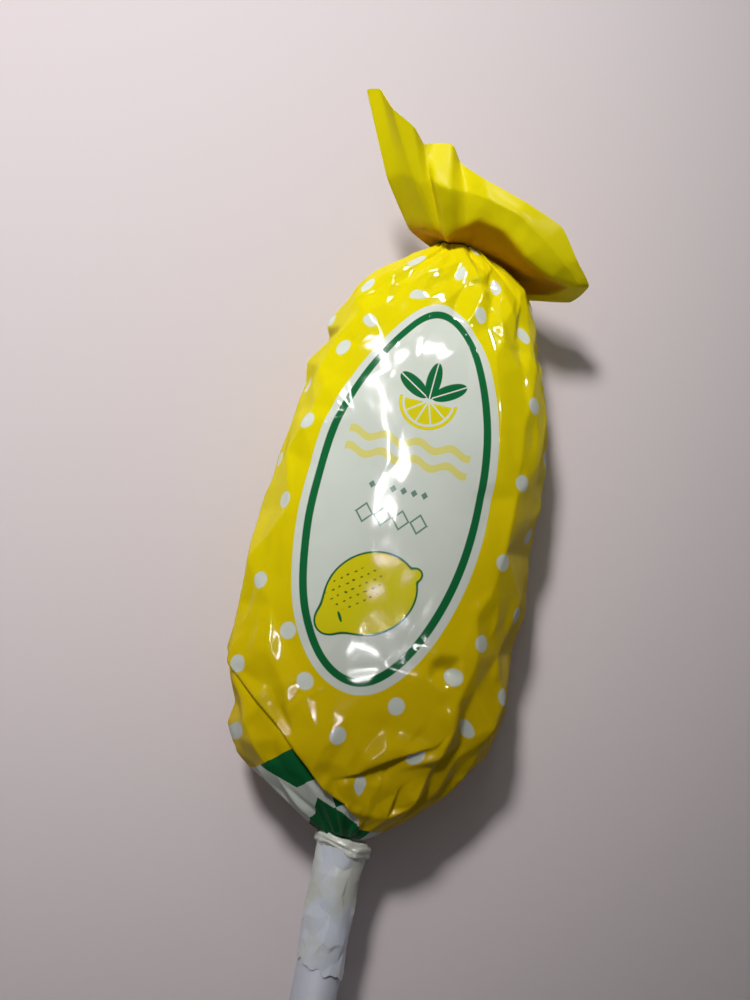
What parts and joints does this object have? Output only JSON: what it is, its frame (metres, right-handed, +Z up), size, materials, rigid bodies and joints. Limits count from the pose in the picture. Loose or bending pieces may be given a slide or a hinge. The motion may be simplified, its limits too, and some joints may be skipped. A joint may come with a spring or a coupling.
{
  "type": "wrapped lollipop",
  "caption": "Flat oval lollipop shut in a glossy spotted film wrapper with a twisted neck and flared tail, on a round paper stick.",
  "frame": {"origin": "on the flat spot that the lollipop lies on, under the middle of the wrapped sweet", "axes": "+Y along the lollipop from the stick towards the flared tail, +X to the right seen from above, +Z up out of the printed side"},
  "size_m": [0.0271, 0.1324, 0.018],
  "materials": {
    "wrapper_film": "glossy printed plastic film, yellow with white spots and a white oval label",
    "stick_paper": "matt off-white rolled paper"
  },
  "bodies": {
    "root": {"wrapper": "wrapper_film", "stick": "stick_paper"}
  },
  "joints": []
}
